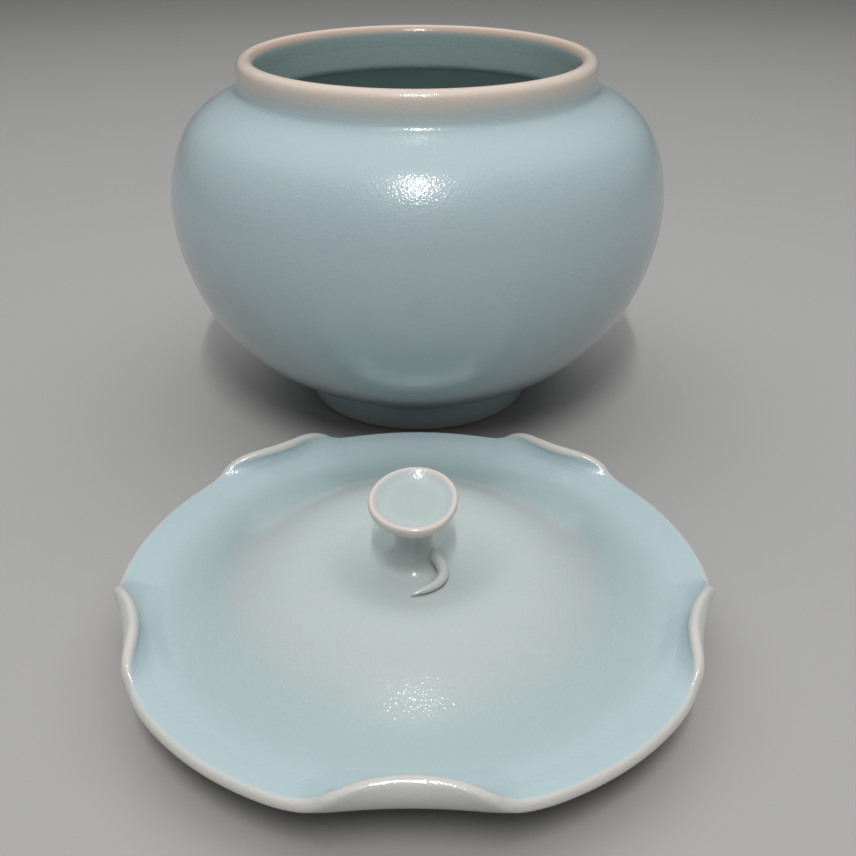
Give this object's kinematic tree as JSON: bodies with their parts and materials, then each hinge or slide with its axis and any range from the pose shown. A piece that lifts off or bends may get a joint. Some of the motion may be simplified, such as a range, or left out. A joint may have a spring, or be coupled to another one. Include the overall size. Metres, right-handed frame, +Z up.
{
  "type": "go stone bowl",
  "caption": "Porcelain jar with a wide lipped mouth and a lift-off lotus-leaf lid, for holding go stones.",
  "frame": {"origin": "centre of the bowl's foot, on the table", "axes": "+Z up along the bowl's axis; the lid lies in front of the bowl, towards -Y"},
  "size_m": [0.142, 0.2538, 0.101],
  "materials": {
    "glaze": "satin pale celadon glaze",
    "lip_glaze": "thin beige glaze over the rounded edge",
    "bare_clay": "unglazed fine clay"
  },
  "bodies": {
    "bowl": {"bowl_body": "glaze", "mouth_lip": "lip_glaze", "foot_ring": "glaze"},
    "lid": {"lid_leaf": "glaze", "lid_locating_ring": "bare_clay", "knob_stalk": "glaze", "knob_dish": "glaze", "stem_curl": "glaze"}
  },
  "joints": [
    {"name": "lid_lift", "type": "slide", "parent": "bowl", "child": "lid", "axis": [0, -0.5, 0.866], "range_m": [0, 0.08]}
  ]
}
